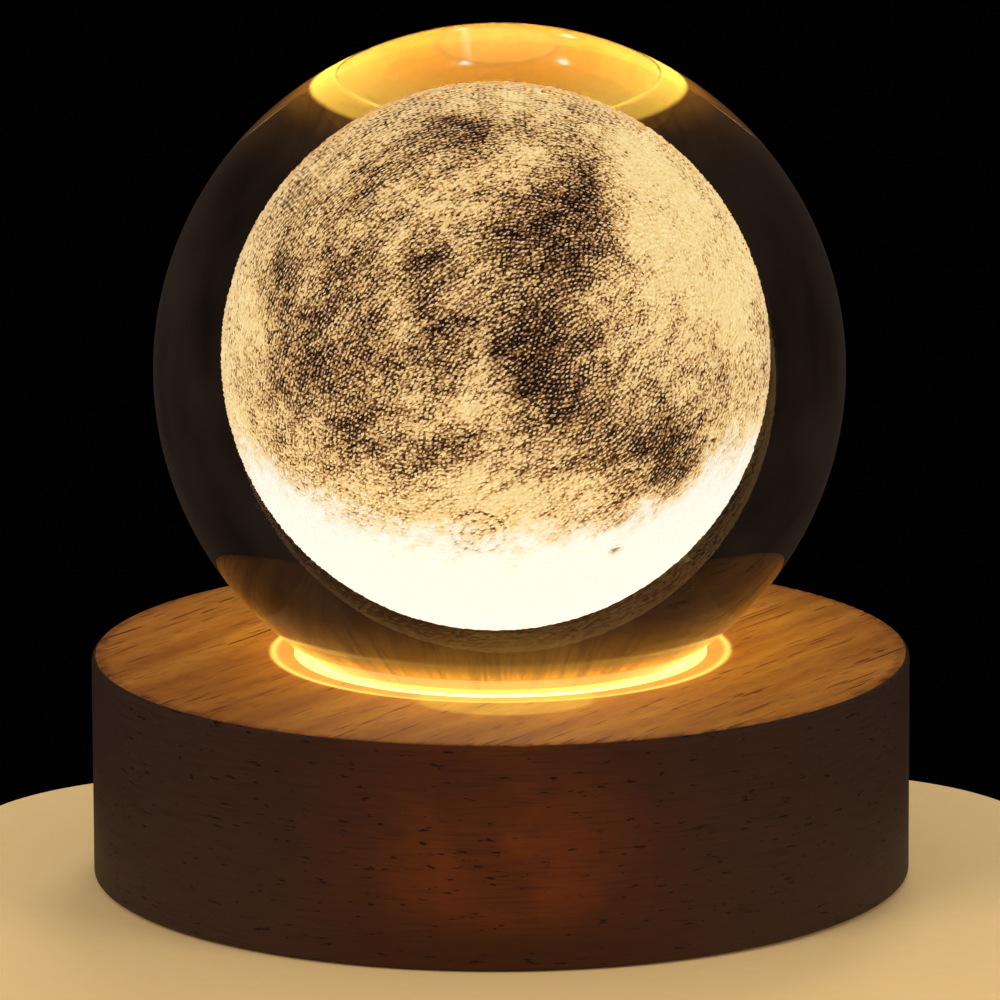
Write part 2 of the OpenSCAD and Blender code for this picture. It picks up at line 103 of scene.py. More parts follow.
class Nodes:
    """The node tree of a material or a world, emptied first."""

    def __init__(self, owner):
        owner.use_nodes = True
        self.tree = owner.node_tree
        self.tree.nodes.clear()

    def node(self, kind, settings=None, sockets=None, out=0):
        """Adds a node: its settings first, then the values or links of its sockets."""
        made = self.tree.nodes.new("ShaderNode" + kind)
        for name, value in (settings or {}).items():
            if name == "stops":
                ramp = made.color_ramp.elements
                while len(ramp) < len(value):
                    ramp.new(1.0)
                for stop, (place, colour) in zip(ramp, value):
                    stop.position, stop.color = place, colour
            else:
                setattr(made, name, value)
        for name, value in (sockets or {}).items():
            if isinstance(value, Level):
                self.tree.links.new(value.socket, made.inputs[name])
            else:
                made.inputs[name].default_value = value
        return Level(self, made.outputs[out]) if made.outputs else None

    def maths(self, operation, first, second=0.0):
        return self.node("Math", {"operation": operation}, {0: first, 1: second})

    def blend(self, first, second, share, how="MIX"):
        """One colour turning into another where share goes from 0 to 1."""
        settings = {"data_type": "RGBA", "blend_type": how}
        return self.node("Mix", settings, {0: share, 6: first, 7: second}, out=2)

    def between(self, level, low, high, to_low=0.0, to_high=1.0):
        """A soft step: to_low under low, to_high over high. High may be the smaller of the two."""
        values = {"Value": level, "From Min": low, "From Max": high, "To Min": to_low, "To Max": to_high}
        return self.node("MapRange", {"interpolation_type": "SMOOTHSTEP"}, values)

    def bell(self, *distances):
        """1 where every distance is 0, and less around it: e^-(the sum of their squares)."""
        squares = [distance * distance for distance in distances]
        return math.e ** (sum(squares[1:], squares[0]) * -1.0)


class Finish(Nodes):
    """A material with its shader ready. Constant values are set on the shader's own sockets."""

    def __init__(self, name, constants):
        self.material = bpy.data.materials.new(name)
        super().__init__(self.material)
        self.shader = self.tree.nodes.new("ShaderNodeBsdfPrincipled")
        end = self.tree.nodes.new("ShaderNodeOutputMaterial")
        self.tree.links.new(self.shader.outputs[0], end.inputs["Surface"])
        for socket, value in constants.items():
            self.shader.inputs[socket].default_value = value

    def drive(self, socket, level):
        self.tree.links.new(level.socket, self.shader.inputs[socket])

    def dapple(self, pattern, one, other, rough=None):
        """One colour turning into another with a pattern. Rough is the roughness where the pattern
        is 0, and what is added to it where the pattern is 1."""
        self.drive("Base Color", self.blend(one, other, pattern))
        if rough:
            self.drive("Roughness", rough[0] + pattern * rough[1])

    def relief(self, height, depth, strength):
        """Raised and sunken detail, depth metres from 0 to 1 of height."""
        self.drive("Normal", self.node("Bump", {}, {"Height": height, "Distance": depth, "Strength": strength}))

    def point(self):
        """The place on the piece, in metres."""
        return self.node("TexCoord", out="Object")

    def axes(self):
        """How far the place is to the right, to the back, above the table and from the lamp's axis."""
        split = self.node("SeparateXYZ", {}, {0: self.point()})
        east, north, height = (Level(self, socket) for socket in split.socket.node.outputs)
        return east, north, height, (east * east + north * north) ** 0.5

    def here(self, step, turn=0.0, stretch=1.0, centre=(0.0, 0.0, 0.0)):
        """The place on the piece, counted in steps of that many metres. The X axis is turned about
        Z, and along it the steps are longer by stretch."""
        moved = self.node("VectorMath", {"operation": "SUBTRACT"}, {0: self.point(), 1: centre})
        turned = self.node("Mapping", {}, {"Vector": moved, "Rotation": (0.0, 0.0, -turn)})
        scale = (1 / step / stretch, 1 / step, 1 / step)
        return self.node("Mapping", {}, {"Vector": turned, "Scale": scale})

    def along(self, place, way):
        """How far a place lies in a direction."""
        return self.node("VectorMath", {"operation": "DOT_PRODUCT"}, {0: place, 1: tuple(way)}, out="Value")

    def lined_up(self, rows, steps):
        """The place along three directions, counted in steps of these metres."""
        parts = [self.along(self.point(), row / step) for row, step in zip(rows, steps)]
        return self.node("CombineXYZ", {}, dict(enumerate(parts)))

    def noise(self, place, detail=2.0, rough=0.5):
        return self.node("TexNoise", {}, {"Vector": place, "Scale": 1.0, "Detail": detail, "Roughness": rough})


def tint(red, green, blue):
    """A colour as a picture stores it, 0 to 255, turned into the amounts of light a shader takes."""
    parts = np.array([red, green, blue]) / 255
    light = np.where(parts <= 0.04045, parts / 12.92, ((parts + 0.055) / 1.055) ** 2.4)
    return (*light.tolist(), 1.0)


def dress(node, finish):
    """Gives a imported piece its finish."""
    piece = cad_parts[node]
    for slot in range(len(piece.data.materials)):
        piece.data.materials[slot] = finish.material


wood_radius, _, wood_top = (float(size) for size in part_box("wood_base")[1])
grain_turn = math.radians(57)

wood = Finish("turned_hardwood", {"IOR": 1.5, "Specular IOR Level": 0.22, "Emission Strength": 1.0})
east, north, height, radius = wood.axes()
# The oiled top: soft bands and fine fibres along the grain, with long thin pores in clusters
bands = wood.noise(wood.here(0.0036, grain_turn, 9), detail=3.0)
fibres = wood.noise(wood.here(0.00024, grain_turn, 26), rough=0.6)
patches = wood.noise(wood.here(0.0013, grain_turn, 2.5), detail=4.0, rough=0.6)
clusters = wood.between(wood.noise(wood.here(0.0046, grain_turn, 2.2), detail=1.0), 0.38, 0.62)
fine_pores = wood.between(wood.noise(wood.here(0.00042, grain_turn, 15), detail=1.0), 0.63, 0.70)
long_pores = wood.between(wood.noise(wood.here(0.00085, grain_turn, 26), rough=0.6), 0.650, 0.680)
pores = wood.maths("MAXIMUM", long_pores, fine_pores * clusters)
at_rim = wood.between(radius, wood_radius - 0.0022, wood_radius - 0.0006)
oiled = wood.node("ValToRGB", {"stops": [
    (0.28, tint(136, 76, 21)), (0.46, tint(150, 87, 26)), (0.62, tint(161, 98, 32)), (0.78, tint(172, 109, 38)),
]}, {0: bands})
for darker, share in (
    (tint(116, 65, 22), wood.between(fibres, 0.50, 0.30, 0.0, 0.40)),
    (tint(112, 60, 20), wood.between(patches, 0.52, 0.30, 0.0, 0.35)),
    (tint(88, 46, 18), at_rim * wood.between(patches, 0.34, 0.62, 0.85, 0.25)),
    (tint(80, 34, 10), pores * 0.9),
):
    oiled = wood.blend(oiled, darker, share)

# The side: an even dark brown of painted shade, redder at the front and the back with painted warm
# light, with the wood's own short level marks and grain
# Bands across the middle of the front and back: where painted warm light falls on the side, and where the
# painted pool of light lies in front of the ball
middle_light_band, middle = wood.bell(east / 0.030), wood.bell(east / 0.013)
mottle = wood.noise(wood.here(0.009), detail=3.0)
half_way_up = wood.between(height, 0.002, 0.010) * wood.between(height, 0.025, 0.016, 0.4, 1.0)
# Painted warm light on the middle of the side, at the front and the back
painted_warm_light = middle * wood.between(mottle, 0.32, 0.56, 0.45, 1.0) * half_way_up
level_marks = wood.node("Mapping", {}, {"Vector": wood.point(), "Scale": (480, 480, 2100)})
level_marks = wood.between(wood.noise(level_marks, rough=0.65), 0.635, 0.70)
side_grain = wood.node("Mapping", {}, {"Vector": wood.point(), "Scale": (150, 150, 3600)})
side_grain = wood.noise(side_grain, detail=3.0, rough=0.6)
# The side's dark brown is painted shade; its grain and level marks are the wood's own
shaded_side = tint(56, 38, 28)
for side_colour, share in (
    (tint(62, 27, 6), middle_light_band),
    (tint(106, 46, 4), painted_warm_light),
    (tint(38, 23, 16), wood.between(side_grain, 0.56, 0.30, 0.0, 0.42)),
    (tint(20, 10, 7), level_marks * 0.85),
):
    shaded_side = wood.blend(shaded_side, side_colour, share)
is_side = wood.between(radius, wood_radius - 0.00052, wood_radius - 0.00040)
coloured = wood.blend(oiled, shaded_side, is_side)
wood.drive("Base Color", coloured)
wood.drive("Roughness", 0.52 + fibres * 0.2)
wood.relief(wood.between(is_side, 0.4, 0.6, fibres * 0.25 - pores, level_marks * -0.6), 0.00010, 0.6)

# The light that spills over the top. From the ring's lip it fades out over the wood, less so at
# the back, at the right and in a pool in front. Next to the ring lies an even glow, out to a
# bright soft line, and in front a tongue of light, where the ball throws it together.
lip_radius, spill_reach, line_radius, line_width = 0.02404, 1 / 110, 0.02640, 0.00042
on_top = wood.between(height, wood_top - 0.0002, wood_top - 0.0001)
spill = math.e ** ((lip_radius - radius) / spill_reach)
spill = spill * wood.between(north, -0.010, 0.022, 1.25, 2.5) * wood.between(east, -0.030, 0.030, 0.85, 1.5)
spill = spill * (1.0 + middle_light_band * wood.between(north, -0.024, -0.036) * 0.9)
even_glow = wood.between(radius, line_radius + 0.00065, line_radius)
tongue_place = wood.here(0.0088, stretch=1.22, centre=(0.0005, -0.0245, wood_top))
tongue = wood.node("VectorMath", {"operation": "LENGTH"}, {0: tongue_place}, out="Value")
line = wood.bell((radius - line_radius) / line_width)
line = line * wood.between(wood.maths("ABSOLUTE", east), 0.006, 0.020, 0.35, 1.0)
lit_wood = wood.blend(coloured, tint(232, 250, 150), 1.0, "MULTIPLY")
lit_wood = wood.blend((0.0, 0.0, 0.0, 1.0), lit_wood, spill * on_top)
for light, share in (
    ((0.54, 0.26, 0.045, 1.0), even_glow),
    ((0.22, 0.17, 0.02, 1.0), wood.between(tongue, 1.02, 0.86)),
    ((0.62, 0.48, 0.09, 1.0), line),
):
    lit_wood = wood.blend(lit_wood, light, share * on_top, "ADD")
wood.drive("Emission Color", lit_wood)
dress("wood_base", wood)

# ---------------------------------------------------------------- clear seat ring
# A turned acrylic ring in the top of the wood. The ball rests in its hollow, and light from
# below leaves through its narrow lip, which shows as a bright line round the ball.
ring = Finish("frosted_acrylic", {"Roughness": 0.4, "Emission Strength": 10.0})
east, north, _, radius = ring.axes()
sideways = ring.maths("ABSOLUTE", east)
frost = ring.noise(ring.here(0.0008), detail=3.0)
hollow = ring.blend((1.0, 0.36, 0.020, 1.0), (1.0, 0.52, 0.055, 1.0), ring.between(radius, 0.0150, 0.0218))
hollow = ring.blend((0.76, 0.29, 0.038, 1.0), hollow, ring.between(radius, 0.0140, 0.0148))
hollow = ring.blend(hollow, (0.62, 0.23, 0.022, 1.0), ring.between(frost, 0.45, 0.75, 0.0, 0.4))
# Two painted glints in the front of the hollow, standing in for light from the diodes nearest to
# them, each with a wider painted flare that ends at the wall of the light hole
off_the_wall = ring.between(radius, 0.01402, 0.01420, 0.0, 0.7)
glint_width, glint_depth = 0.00055, 0.00022
for glint_east, glint_north in ((0.0043, -0.0137), (-0.0082, -0.0130)):
    across, inwards = (east - glint_east) / glint_width, (north - glint_north) / glint_depth
    flare = ring.bell(across / math.sqrt(5), inwards / math.sqrt(3))
    hollow = ring.blend(hollow, (1.0, 0.60, 0.16, 1.0), flare * off_the_wall)
    hollow = ring.blend(hollow, (1.0, 0.98, 0.86, 1.0), ring.bell(across, inwards))
# The lip: bright inside and dim outside, and thinner towards its left and right ends
off_centre = ring.between(sideways, 0.004, 0.014)
lip_outer = ring.blend((0.30, 0.13, 0.035, 1.0), (0.22, 0.056, 0.011, 1.0), off_centre)
thinner = ring.between(sideways, 0.0150, 0.0215, 0.0, 0.00045)
lip = ring.blend((0.85, 0.62, 0.075, 1.0), lip_outer, ring.between(radius + thinner, 0.02245, 0.02290))
ring.drive("Emission Color", ring.blend(hollow, lip, ring.between(radius, 0.0220, 0.0223)))
ring.dapple(frost, tint(245, 236, 214), tint(228, 214, 180))
ring.relief(frost, 0.00003, 0.4)
dress("seat_ring", ring)

# ---------------------------------------------------------------- diffuser and reflector cup
# An opal disc lies in a step of a moulded white cup. The cup is screwed to the wood from below
# with three pan head screws.
opal = Finish("opal_sheet", {"Roughness": 0.5, "Emission Strength": 10.0})
cloud = opal.noise(opal.here(0.003))
opal.drive("Emission Color", opal.blend((0.80, 0.34, 0.05, 1.0), (0.62, 0.25, 0.035, 1.0), cloud))
opal.dapple(cloud, tint(244, 240, 228), tint(236, 230, 214))
dress("diffuser_plate", opal)

moulded = Finish("moulded_white", {"IOR": 1.46})
grit = moulded.noise(moulded.here(0.00025), detail=1.0)
moulded.dapple(moulded.noise(moulded.here(0.004), detail=4.0), tint(240, 240, 235), tint(226, 225, 218))
moulded.drive("Roughness", 0.28 + grit * 0.2)
moulded.relief(grit, 0.00002, 0.3)
dress("reflector_cup", moulded)

plated = Finish("zinc_plate", {"Metallic": 1.0})
brushed = plated.noise(plated.here(0.0003, 0.6, 6))
plated.dapple(brushed, tint(196, 196, 200), tint(160, 161, 168), rough=(0.25, 0.2))
dress("cup_screws", plated)

# ---------------------------------------------------------------- light unit
# A round board with white solder mask carries six warm diodes in white housings, each with a
# drop of yellow phosphor, and three resistors. Two small screws hold it in the cup.
mask_white = Finish("white_solder_mask", {"IOR": 1.5})
weave = mask_white.noise(mask_white.here(0.0012), detail=3.0)
mask_white.dapple(weave, tint(236, 236, 230), tint(214, 214, 205), rough=(0.3, 0.25))
dress("led_board", mask_white)
dress("led_housings", moulded)
phosphor = Finish("phosphor_gel", {"Roughness": 0.35, "Emission Strength": 2.0})
grains = phosphor.noise(phosphor.here(0.0002))
phosphor.dapple(grains, tint(255, 226, 110), tint(246, 196, 70))
phosphor.drive("Emission Color", phosphor.blend(tint(255, 232, 160), tint(255, 206, 110), grains))
dress("led_phosphors", phosphor)
ceramic = Finish("black_moulding", {"IOR": 1.5})
speck = ceramic.noise(ceramic.here(0.00018), detail=1.0)
ceramic.dapple(speck, tint(30, 30, 32), tint(52, 52, 55), rough=(0.45, 0.2))
dress("led_resistors", ceramic)
dress("led_board_screws", plated)

# ---------------------------------------------------------------- wires
# A red and a black wire with soft insulation bring the current from the control board.
for node, light, dark in (("wire_red", tint(196, 40, 30), tint(160, 24, 20)),
                          ("wire_black", tint(44, 44, 46), tint(24, 24, 25))):
    sleeve = Finish(node + "_sleeve", {"Sheen Weight": 0.1})
    strands = sleeve.noise(sleeve.here(0.0006, math.pi / 2, 5))
    sleeve.dapple(strands, light, dark, rough=(0.4, 0.15))
    dress(node, sleeve)

# ---------------------------------------------------------------- control board
# A green board stands behind the wood's rear wall, held by two screws, with a driver chip and
# two capacitors on its front. Copper tracks show through the solder mask.
mask_green = Finish("green_solder_mask", {"IOR": 1.5, "Coat Weight": 0.3})
mask_green.drive("Base Color", mask_green.node("TexBrick", {}, {
    "Vector": mask_green.here(0.0011, stretch=2.2), "Scale": 1.0, "Mortar Size": 0.06,
    "Color1": tint(20, 74, 38), "Color2": tint(26, 86, 44), "Mortar": tint(52, 128, 70),
}))
mask_green.drive("Roughness", 0.3 + mask_green.noise(mask_green.here(0.001)) * 0.2)
dress("control_board", mask_green)
dress("control_board_screws", plated)
dress("control_chips", ceramic)

# ---------------------------------------------------------------- power socket
# A drawn steel shell with nickel plating, a black tongue and gold-flashed contacts.
nickel = Finish("nickel_plate", {"Metallic": 1.0})
drawn = nickel.noise(nickel.here(0.0002, math.pi / 2, 10))
nickel.dapple(drawn, tint(205, 203, 198), tint(172, 170, 166), rough=(0.2, 0.2))
dress("socket_shell", nickel)
dress("socket_tongue", ceramic)
gold = Finish("gold_flash", {"Metallic": 1.0})
worn = gold.noise(gold.here(0.0003))
gold.dapple(worn, tint(226, 180, 98), tint(196, 146, 66), rough=(0.2, 0.15))
dress("socket_contacts", gold)

# ---------------------------------------------------------------- push button
# A square switch stands behind a round black cap. The cap has a fine spark-eroded texture and
# is held in the wood by its flange.
dress("switch_housing", ceramic)
dress("switch_plunger", moulded)
eroded = Finish("eroded_black", {"IOR": 1.5})
pits = eroded.noise(eroded.here(0.00016))
eroded.dapple(pits, tint(40, 37, 36), tint(56, 52, 50), rough=(0.38, 0.25))
eroded.relief(pits, 0.00003, 0.6)
dress("button_cap", eroded)

# ---------------------------------------------------------------- bottom cover and feet
# A textured black plate closes the pocket. Four countersunk screws hold it, and four round
# rubber pads stand in its recesses.
dress("bottom_cover", eroded)
blackened = Finish("blackened_steel", {"Metallic": 0.8})
scuff = blackened.noise(blackened.here(0.0003, 0.4, 4))
blackened.dapple(scuff, tint(52, 52, 55), tint(84, 84, 88), rough=(0.35, 0.2))
dress("cover_screws", blackened)
rubber = Finish("foot_rubber_grey", {"Sheen Weight": 0.15})
dust = rubber.noise(rubber.here(0.0007), detail=4.0)
rubber.dapple(dust, tint(46, 46, 46), tint(66, 65, 63), rough=(0.7, 0.2))
rubber.relief(dust, 0.00005, 0.4)
dress("foot_pads", rubber)

# ---------------------------------------------------------------- crystal ball
# A ball of clear optical glass, ground and polished all over. Nothing but its weight holds it
# in its ring.


def add_mesh(name, points, faces, smooth):
    """A new object made of points (n, 3) and of faces that count them from 0."""
    mesh = bpy.data.meshes.new(name)
    mesh.from_pydata(points.tolist(), [], faces)
    if smooth:
        mesh.shade_smooth()
    piece = bpy.data.objects.new(name, mesh)
    bpy.context.scene.collection.objects.link(piece)
    return piece


def strips(rows, around):
    """Four-sided faces between closed rows of points, with that many points in each row."""
    row, column = np.meshgrid(np.arange(rows - 1), np.arange(around), indexing="ij")
    following = (column + 1) % around
    return np.stack([row * around + column, row * around + following,
                     (row + 1) * around + following, (row + 1) * around + column], -1).reshape(-1, 4)


def globe(name, around, up, place):
    """A closed round surface. A direction (cos b cos a, cos b sin a, sin b) is taken for each
    longitude a and latitude b, from the south pole to the north pole, and place turns the
    directions (n, 3) into points (n, 3)."""
    turn = np.arange(around) * 2 * np.pi / around
    rise = (np.arange(1, up) / up - 0.5) * np.pi
    rise, turn = np.meshgrid(rise, turn, indexing="ij")
    rings = np.stack([np.cos(rise) * np.cos(turn), np.cos(rise) * np.sin(turn), np.sin(rise)], -1)
    directions = np.concatenate([[[0, 0, -1]], rings.reshape(-1, 3), [[0, 0, 1]]])
    column = np.arange(around)
    following, last = (column + 1) % around, 1 + (up - 2) * around
    south = np.stack([0 * column, following + 1, column + 1], -1)
    north = np.stack([0 * column + len(directions) - 1, last + column, last + following], -1)
    faces = (strips(up - 1, around) + 1).tolist() + south.tolist() + north.tolist()
    return add_mesh(name, place(directions), faces, smooth=True), directions


def middle_and_radius(node):
    """Where a packed ball is, and how large."""
    low, high = (np.array(corner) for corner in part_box(node))
    return (low + high) / 2, float((high - low)[2] / 2)


ball_centre, ball_radius = middle_and_radius("crystal_ball")
ball, _ = globe("polished_ball", 420, 224, lambda directions: ball_centre + directions * ball_radius)
crystal = Finish("optical_glass", {
    "Roughness": 0.0, "IOR": 1.52, "Transmission Weight": 1.0, "Emission Strength": 8.0,
})
crystal.dapple(crystal.noise(crystal.here(0.012)), (0.985, 0.985, 0.98, 1.0), (0.965, 0.965, 0.96, 1.0))

# A painted amber glow lies on the skin over the ring, fading upwards, with painted streaks in it
# that stand in for the wood's grain seen in the glass. From inside the glass, which mirrors it at
# the ball's top, the painted light of the ring's lit hollow shows brighter.
east, north, height, radius = crystal.axes()
from_bottom = crystal.maths("ARCTAN2", radius, float(ball_centre[2]) - height) * math.degrees(1)
upright = crystal.node("CombineXYZ", {}, {0: east / radius * 26.0, 1: north / radius * 26.0, 2: height * 90.0})
# Painted streaks in the glow, standing in for the wood's grain seen in the glass
painted_streaks = crystal.between(crystal.noise(upright, detail=3.0, rough=0.7), 0.34, 0.60, 0.62, 1.08)
above_ring = crystal.between(from_bottom, 33.2, 33.8)
fading = crystal.between(from_bottom, 44.5, 36.8) + crystal.between(from_bottom, 56, 37, 0.0, 0.24)
painted_skin_glow = crystal.blend((0.0, 0.0, 0.0, 1.0), (0.108, 0.041, 0.0035, 1.0), fading * painted_streaks * above_ring)
# Painted light of the ring's lit hollow, shown on the skin from inside the glass
painted_hollow_light = crystal.blend(painted_skin_glow, (1.0, 0.56, 0.07, 1.0),
                            above_ring * crystal.between(from_bottom, 38.4, 37.2))
seen_inside = crystal.node("NewGeometry", out="Backfacing")
crystal.drive("Emission Color", crystal.blend(painted_skin_glow, painted_hollow_light, seen_inside))
crystal.material.cycles.emission_sampling = "NONE"
ball.data.materials.append(crystal.material)
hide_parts("crystal_ball")
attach(ball, "ball")

# ---------------------------------------------------------------- engraved moon
# A laser has struck tens of thousands of tiny white cracks into the glass, all at one depth
# under the surface of a moon. They are dense on the bright land, and sparse in the dark seas.


def unit(vectors):
    """The same directions, 1 long."""
    return vectors / np.linalg.norm(vectors, axis=-1, keepdims=True)


def facing(longitude, latitude):
    """The direction with that longitude from the front and that latitude, in degrees."""
    turn, rise = np.radians(longitude), np.radians(latitude)
    return np.stack([np.sin(turn) * np.cos(rise), -np.cos(turn) * np.cos(rise), np.sin(rise)], -1)


def apart(directions, way):
    """The angle from each direction to a way, in radians."""
    return np.arccos(np.clip(directions @ way, -1, 1))


def soft_step(share):
    """0 up to 0, 1 from 1, and 3 s^2 - 2 s^3 between."""
    share = np.clip(share, 0, 1)
    return share * share * (3 - 2 * share)


def hash_noise(points, seed):
    """Smooth random hills: a random number on each corner of a grid of unit cells, blended inside
    each cell by the soft step of the distances to its sides."""
    table = np.random.default_rng(seed).random(8192)
    cell = np.floor(points).astype(np.int64)
    share = soft_step(points - cell)
    total = np.zeros(len(points))
    for corner in np.ndindex(2, 2, 2):
        at = cell + corner
        number = table[(at[:, 0] * 73856093 ^ at[:, 1] * 19349663 ^ at[:, 2] * 83492791) % 8192]
        total += number * np.where(np.array(corner) == 1, share, 1 - share).prod(1)
    return total


moon_centre, moon_radius = middle_and_radius("moon_engraving")
laser_rows = unit(np.array([[0.84, 0.12, 0.53], [-0.53, -0.08, 0.84], [0.14, -0.99, 0.0]]))

# Seas, and bright land where the last number is below 0: longitude from the front, latitude, half
# length and half width in degrees, turn of the length from level, and how much darker than the land
seas = np.array([
    [-52, 80, 13, 10, 0, 0.36], [22, 46, 21, 13, 60, 0.44], [12, 11, 15, 15, 0, 0.46],
    [27, -3, 19, 7, 10, 0.22], [-23, 37, 6, 5, 0, 0.34], [-16, 14, 8, 8, 0, 0.28],
    [-57, 3, 13, 9, 0, 0.10], [-48, 12, 30, 19, 80, 0.18], [-72, 21, 9, 8, 0, 0.10],
    [-70, 51, 13, 11, 45, 0.10], [-16, -15, 12, 6, 20, 0.22], [45, -16, 17, 8, 20, 0.30],
    [51, -24, 9, 7, 0, 0.22], [32, -33, 10, 6, 20, 0.20], [-42, -13, 16, 7, 45, 0.12],
    [45, 55, 11, 6, 30, 0.16], [2, 45, 7, 6, 0, 0.14], [32, 29, 7, 5, 0, 0.06],
    [-4, 1, 14, 8, 60, -0.18], [-20, 55, 16, 8, 30, -0.06], [75, 32, 30, 28, 0, -0.38],
    [16, 70, 10, 7, 60, -0.34], [95, 48, 26, 14, 0, -0.2], [-5, -30, 34, 12, 0, -0.26],
    [150, 10, 24, 16, 30, 0.35], [-140, 30, 18, 14, 0, 0.3], [170, -10, 20, 12, 10, 0.25],
    [110, -5, 10, 8, 0, 0.2], [-26, 14, 7, 6, 0, -0.14], [40, 7, 9, 8, 0, -0.15],
    [-8, 60, 10, 7, 0, -0.13], [6, 4, 6, 6, 0, 0.13], [57, -25, 8, 7, 0, 0.18],
    [-71, 18, 8, 7, 0, 0.13], [-32, 36, 7, 6, 0, -0.14], [-160, 81, 18, 12, 0, -0.16],
    [84, 14, 14, 10, 0, -0.14], [64, -12, 9, 7, 0, -0.08], [56, 56, 10, 8, 0, 0.12],
    [-60, 55, 9, 7, 0, 0.10], [28, 15, 8, 6, 0, 0.08], [14, -42, 14, 5, 0, -0.22],
    [38, -33, 10, 7, 0, 0.06], [40, -12, 9, 9, 0, 0.12], [53, -9, 8, 7, 0, 0.12],
    [80, 9, 10, 9, 0, -0.25], [110, 20, 14, 10, 0, -0.25], [84, 58, 10, 8, 0, -0.15],
])
# A crater with rings near the lower front: how far its rings reach and how far they are apart, in
# radians. Next to it is one small dark spot.
crater_way, crater_reach, crater_step = facing(-6, -38.5), math.radians(7.9), math.radians(2.7)
spot_way, spot_size = facing(45, -46), math.radians(1.5)


def moon_tone(directions):
    """How brightly the engraving glows in each direction (x, y, z), and how white, both 0 to 1.
    Land is 0.60 + 1.18 h, where h are random hills of five sizes, drawn out along the laser's
    rows. Each sea takes off its darkness times e^-(u^2 + v^2)^1.5, with u and v counted in its
    half length and half width. The left edge is a little brighter. The lamp shines from below:
    0.33 x^2 + 0.03 x - z + 0.34 h, less half of what the seas take off, turns golden from 0.40
    and white from 0.56. The crater's rings, 0.22 (0.5 - 0.5 cos)^2 of the angle to its middle,
    and the dark spot are taken off both."""
    stretched = directions @ laser_rows.T * [1.0, 2.0, 1.5]
    hills = np.zeros(len(directions))
    for seed, (size, weight) in enumerate([(3.0, 0.16), (7.0, 0.24), (16.0, 0.27), (38.0, 0.27), (75.0, 0.16)]):
        hills += weight * (hash_noise(stretched * size + 50, seed) - 0.5)
    warp = np.stack([hash_noise(directions * 6 + 20 * k, 10 + k) - 0.5 for k in range(3)], 1)
    bent = unit(directions + 0.13 * warp)
    land = 0.60 + hills * 1.18
    tone = land.copy()
    for longitude, latitude, length, width, turn, dark in seas:
        middle, turn = facing(longitude, latitude), math.radians(turn)
        level = unit(np.cross([0, 0, 1.0], middle))
        rise = np.cross(middle, level)
        first = bent @ (level * math.cos(turn) + rise * math.sin(turn)) / math.sin(math.radians(length))
        second = bent @ (rise * math.cos(turn) - level * math.sin(turn)) / math.sin(math.radians(width))
        tone -= dark * np.where(bent @ middle > 0, np.exp(-((first ** 2 + second ** 2) ** 1.5)), 0)
    x, _, z = directions.T
    tone += 0.22 * np.clip((-x - 0.90) / 0.09, 0, 1)
    nearness = 0.33 * x ** 2 + 0.03 * x - z + 0.34 * hills + 0.5 * np.minimum(tone - land, 0)
    tone += (1.0 - tone) * 0.72 * soft_step((nearness - 0.40) / 0.28)
    white = soft_step((nearness - 0.56) / 0.20)
    reach = apart(directions, crater_way)
    marks = 0.22 * (reach < crater_reach) * (0.5 - 0.5 * np.cos(reach * math.tau / crater_step)) ** 2
    marks += 0.85 * np.exp(-(apart(directions, spot_way) / spot_size) ** 2)
    return np.clip(tone - marks, 0.0, 1), np.clip(white - marks * 1.2, 0, 1)


def moon_surface(directions):
    """A ball whose radius sinks with the seas, from 0.30 mm inside the cracks to 0.45 mm."""
    tone, _ = moon_tone(directions)
    return moon_centre + directions * (moon_radius - 0.00045 + 0.00015 * tone)[:, None]


def keep_tone(mesh, tone, white):
    """Stores both numbers at the mesh's points, for its finish."""
    for name, values in (("tone", tone), ("white", white)):
        mesh.attributes.new(name, "FLOAT", "POINT").data.foreach_set("value", values.astype(np.float32))


def kept_tone(finish):
    """Both stored numbers, in a finish."""
    return [finish.node("Attribute", {"attribute_name": name}, out="Fac") for name in ("tone", "white")]


moon, ways = globe("moon_shell", 440, 220, moon_surface)
keep_tone(moon.data, *moon_tone(ways))
# The engraving's glow is painted light: an emission standing in for the diodes' light that the cracks scatter
engraved = Finish("engraved_glass", {"Roughness": 0.8, "Emission Strength": 1.0})
tone, white = kept_tone(engraved)
speckle = engraved.noise(engraved.lined_up(laser_rows, (0.00040, 0.00022, 0.00028)), detail=1.0, rough=0.6)
patchy = engraved.noise(engraved.lined_up(laser_rows, (0.0022, 0.0009, 0.0014)), rough=0.6)
outward = engraved.node("VectorMath", {"operation": "SUBTRACT"}, {0: engraved.point(), 1: tuple(moon_centre)})
outward = engraved.node("VectorMath", {"operation": "NORMALIZE"}, {0: outward})
# Dark lines between the crater's rings, broken up, on its upper side and only where it isn't white
to_crater = engraved.maths("ARCCOSINE", engraved.along(outward, crater_way))
upwards = (0.30, 0.0, 0.95)
crater_level = float(np.dot(upwards, crater_way))
crater_rings = engraved.between(engraved.maths("COSINE", to_crater * (math.tau / crater_step)), -0.1, -0.9)
for share in (
    engraved.between(to_crater, crater_reach, crater_reach * 0.9),
    engraved.between(to_crater, crater_step * 0.8, crater_step),
    engraved.between(engraved.along(outward, upwards), crater_level - 0.02, crater_level + 0.06),
    engraved.between(patchy, 0.36, 0.56),
    1.0 - white,
):
    crater_rings = crater_rings * share
contrast = engraved.between(tone, 0.70, 0.98, 1.0, 0.45)
shade = tone + ((speckle - 0.5) * 1.9 + (patchy - 0.5) * 0.7) * contrast - crater_rings * 0.42
glow = engraved.node("ValToRGB", {"stops": [
    (0.10, tint(16, 9, 7)), (0.34, tint(64, 38, 20)), (0.55, tint(134, 88, 44)), (0.75, tint(206, 158, 90)),
    (0.97, tint(248, 213, 140)),
]}, {0: shade})
glow = engraved.blend(glow, tint(255, 251, 232), white)
